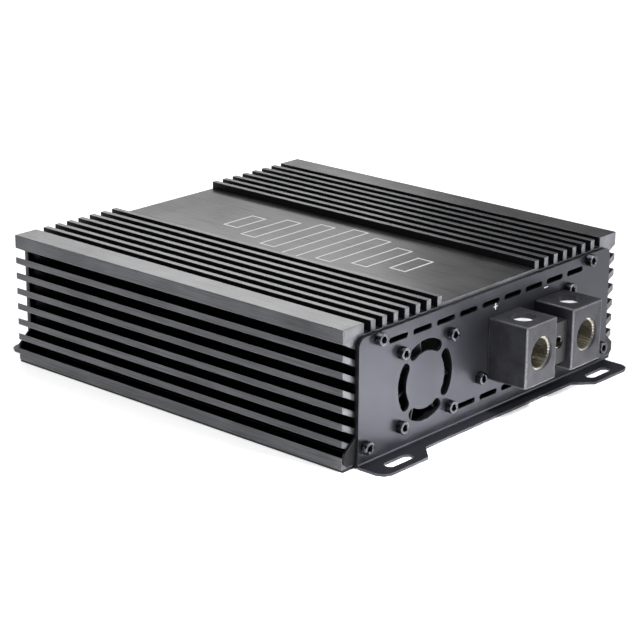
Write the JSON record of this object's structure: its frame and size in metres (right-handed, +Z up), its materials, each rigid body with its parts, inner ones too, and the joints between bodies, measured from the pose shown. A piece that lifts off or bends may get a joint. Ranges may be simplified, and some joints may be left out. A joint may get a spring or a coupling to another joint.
{
  "type": "car amplifier",
  "caption": "Finned aluminium car amplifier with steel end plates, slotted mounting feet, clamp terminals for power at one end and controls with signal jacks at the other.",
  "frame": {"origin": "centre of the footprint, on the underside", "axes": "+Z up; +Y from the power terminals towards the signal and control end; +X across the width"},
  "size_m": [0.1874, 0.2328, 0.06],
  "materials": {
    "anodised_aluminium": "brushed, gunmetal anodised",
    "black_steel": "satin black powder coat",
    "screw_steel": "dark nickel plated",
    "bright_metal": "bright nickel plated",
    "terminal_coating": "satin dark grey",
    "black_plastic": "moulded black",
    "blue_plastic": "moulded blue",
    "lens_plastic": "tinted lens",
    "copper": "bare and lacquered copper",
    "brass": "gold coloured plating",
    "board_laminate": "green solder mask",
    "capacitor_sleeve": "dark blue sleeve",
    "ferrite": "epoxy coated ferrite",
    "silicone": "thermal silicone",
    "lead_sheath": "soft lead sheath"
  },
  "bodies": {
    "amplifier": {"heatsink": "anodised_aluminium", "bottom_cover": "black_steel", "bottom_cover_screws": "screw_steel", "front_end_plate": "black_steel", "front_backing_sheet": "black_steel", "front_plate_screws": "screw_steel", "rear_end_plate": "black_steel", "rear_backing_sheet": "black_steel", "rear_plate_screws": "screw_steel", "fan_frame": "black_plastic", "fan_coil": "copper", "fan_screws": "screw_steel", "fan_nuts": "bright_metal", "fan_lead": "lead_sheath", "positive_terminal": "terminal_coating", "ground_terminal": "terminal_coating", "positive_cable_liner": "bright_metal", "ground_cable_liner": "bright_metal", "remote_terminal": "black_plastic", "remote_wire_liner": "bright_metal", "terminal_base": "black_plastic", "terminal_base_screws": "screw_steel", "positive_bus_bar": "copper", "ground_bus_bar": "copper", "main_circuit_board": "board_laminate", "board_standoffs": "brass", "board_screws": "bright_metal", "input_capacitors": "capacitor_sleeve", "output_capacitors": "capacitor_sleeve", "transformer_windings": "copper", "transformer_cores": "ferrite", "output_choke_winding": "copper", "output_choke_core": "ferrite", "driver_board": "board_laminate", "left_transistors": "black_plastic", "right_transistors": "black_plastic", "left_insulating_pad": "silicone", "right_insulating_pad": "silicone", "left_clamp_bar": "bright_metal", "right_clamp_bar": "bright_metal", "clamp_bar_screws": "screw_steel", "input_board": "board_laminate", "rca_housing": "black_plastic", "rca_barrels": "brass", "potentiometer_bodies": "blue_plastic", "phase_switch_body": "bright_metal", "remote_jack": "black_plastic", "status_lights": "lens_plastic", "speaker_terminal_block": "black_plastic", "speaker_clamp_screws": "bright_metal"},
    "fan": {"fan_rotor": "black_plastic", "fan_shaft": "bright_metal"},
    "positive_clamp": {"positive_set_screw": "bright_metal"},
    "ground_clamp": {"ground_set_screw": "bright_metal"},
    "remote_clamp": {"remote_clamp_screw": "bright_metal"},
    "gain_control": {"gain_knob": "black_plastic"},
    "subsonic_control": {"subsonic_knob": "black_plastic"},
    "low_pass_control": {"low_pass_knob": "black_plastic"},
    "bass_boost_control": {"bass_boost_knob": "black_plastic"},
    "phase_switch": {"phase_switch_slider": "black_plastic"}
  },
  "joints": [
    {"name": "fan_spin", "type": "hinge", "parent": "amplifier", "child": "fan", "pos_m": [-0.0445, -0.0888, 0.027], "axis": [0, -1, 0], "continuous": true},
    {"name": "positive_clamp_slide", "type": "slide", "parent": "amplifier", "child": "positive_clamp", "axis": [0, 0, -1], "range_m": [0, 0.003]},
    {"name": "ground_clamp_slide", "type": "slide", "parent": "amplifier", "child": "ground_clamp", "axis": [0, 0, -1], "range_m": [0, 0.003]},
    {"name": "remote_clamp_slide", "type": "slide", "parent": "amplifier", "child": "remote_clamp", "axis": [0, 0, -1], "range_m": [0, 0.004]},
    {"name": "gain_turn", "type": "hinge", "parent": "amplifier", "child": "gain_control", "pos_m": [-0.066, 0.1024, 0.033], "axis": [0, 1, 0], "range_deg": [-150, 150]},
    {"name": "subsonic_turn", "type": "hinge", "parent": "amplifier", "child": "subsonic_control", "pos_m": [-0.051, 0.1024, 0.033], "axis": [0, 1, 0], "range_deg": [-150, 150]},
    {"name": "low_pass_turn", "type": "hinge", "parent": "amplifier", "child": "low_pass_control", "pos_m": [-0.036, 0.1024, 0.033], "axis": [0, 1, 0], "range_deg": [-150, 150]},
    {"name": "bass_boost_turn", "type": "hinge", "parent": "amplifier", "child": "bass_boost_control", "pos_m": [-0.021, 0.1024, 0.033], "axis": [0, 1, 0], "range_deg": [-150, 150]},
    {"name": "phase_switch_slide", "type": "slide", "parent": "amplifier", "child": "phase_switch", "axis": [1, 0, 0], "range_m": [0, 0.003]}
  ]
}
